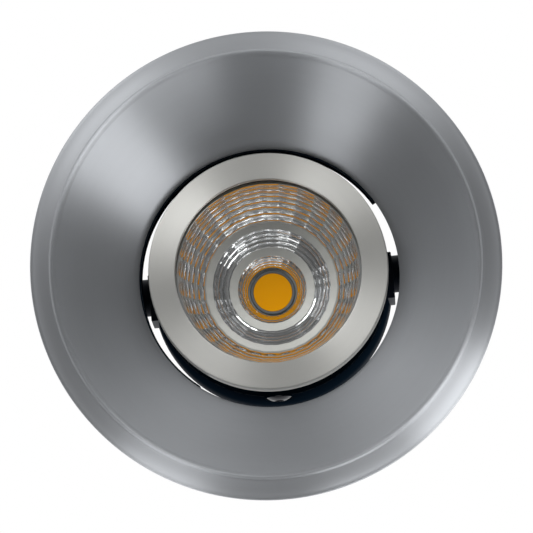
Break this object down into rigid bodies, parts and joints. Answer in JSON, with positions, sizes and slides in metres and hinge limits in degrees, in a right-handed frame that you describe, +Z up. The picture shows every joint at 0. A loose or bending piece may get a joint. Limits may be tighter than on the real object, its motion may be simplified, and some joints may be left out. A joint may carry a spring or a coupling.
{
  "type": "soffit downlight",
  "caption": "Round recessed soffit downlight: brushed deep-cone rim, tilting lamp with faceted reflector, finned heat sink and spring clips.",
  "frame": {"origin": "centre of the cut-out, on the soffit's visible face, where the rim's gasket seats", "axes": "+Z up into the soffit along the trim ring's axis; the light shines towards -Z; +X is the picture's right and +Y its bottom"},
  "size_m": [0.105, 0.105, 0.1014],
  "materials": {
    "brushed_nickel": "brushed nickel plate, turned round the axis",
    "bezel_nickel": "satin nickel, a little warmer",
    "black_coat": "satin black coat",
    "black_plastic": "fine texture",
    "reflector_silver": "vapour-coated, faceted",
    "clear_glass": "clear, polished",
    "sealing_foam": "matt",
    "seal_rubber": "matt",
    "pad_grey": "matt",
    "board_white": "white solder mask",
    "phosphor_yellow": "unlit phosphor",
    "dam_silicone": "pale silicone",
    "holder_plastic": "white",
    "screw_black": "blackened steel",
    "zinc_steel": "zinc plated",
    "spring_steel": "bare spring steel",
    "wire_red": "insulation",
    "wire_black": "insulation",
    "terminal_plastic": "green moulding"
  },
  "bodies": {
    "root": {"trim_ring": "brushed_nickel", "flange_gasket": "sealing_foam", "carrier_ring": "black_coat", "carrier_screws": "screw_black", "clip_rivets": "zinc_steel", "clip_bracket_1": "zinc_steel", "clip_bracket_2": "zinc_steel", "clip_pin_1": "zinc_steel", "clip_pin_2": "zinc_steel", "clip_spring_1": "spring_steel", "clip_spring_2": "spring_steel"},
    "lamp": {"bezel_ring": "bezel_nickel", "glass_seal": "seal_rubber", "front_glass": "clear_glass", "reflector": "reflector_silver", "front_housing": "black_coat", "rear_housing": "black_coat", "heat_sink": "black_coat", "side_screws": "screw_black", "pivot_bushes": "black_plastic", "pivot_washers": "zinc_steel", "pivot_screws": "screw_black", "cob_board": "board_white", "cob_dam": "dam_silicone", "cob_phosphor": "phosphor_yellow", "cob_holder": "holder_plastic", "holder_screws": "zinc_steel", "thermal_pad": "pad_grey", "lead_wire_plus": "wire_red", "lead_wire_minus": "wire_black", "terminal_block": "terminal_plastic", "cover_gasket": "seal_rubber", "terminal_cover": "black_plastic", "cover_screws": "screw_black", "gland_body": "black_plastic", "gland_seal": "seal_rubber", "gland_nut": "black_plastic"},
    "clip_1": {"clip_arm_1": "spring_steel", "clip_sleeve_1": "seal_rubber"},
    "clip_2": {"clip_arm_2": "spring_steel", "clip_sleeve_2": "seal_rubber"}
  },
  "joints": [
    {"name": "lamp_tilt", "type": "hinge", "parent": "root", "child": "lamp", "pos_m": [0, 0, 0.0382], "axis": [0.9956, -0.0941, 0], "range_deg": [-2.8, 9.2]},
    {"name": "clip_1_hinge", "type": "hinge", "parent": "root", "child": "clip_1", "pos_m": [0.00348, 0.03684, 0.03], "axis": [0.9956, -0.0941, 0], "range_deg": [0, 145], "stiffness_Nm_per_rad": 0.015, "springref_deg": -85.94, "deforming": ["clip_spring_1"]},
    {"name": "clip_2_hinge", "type": "hinge", "parent": "root", "child": "clip_2", "pos_m": [-0.00348, -0.03684, 0.03], "axis": [-0.9956, 0.0941, 0], "range_deg": [0, 145], "stiffness_Nm_per_rad": 0.015, "springref_deg": -85.94, "deforming": ["clip_spring_2"]}
  ]
}
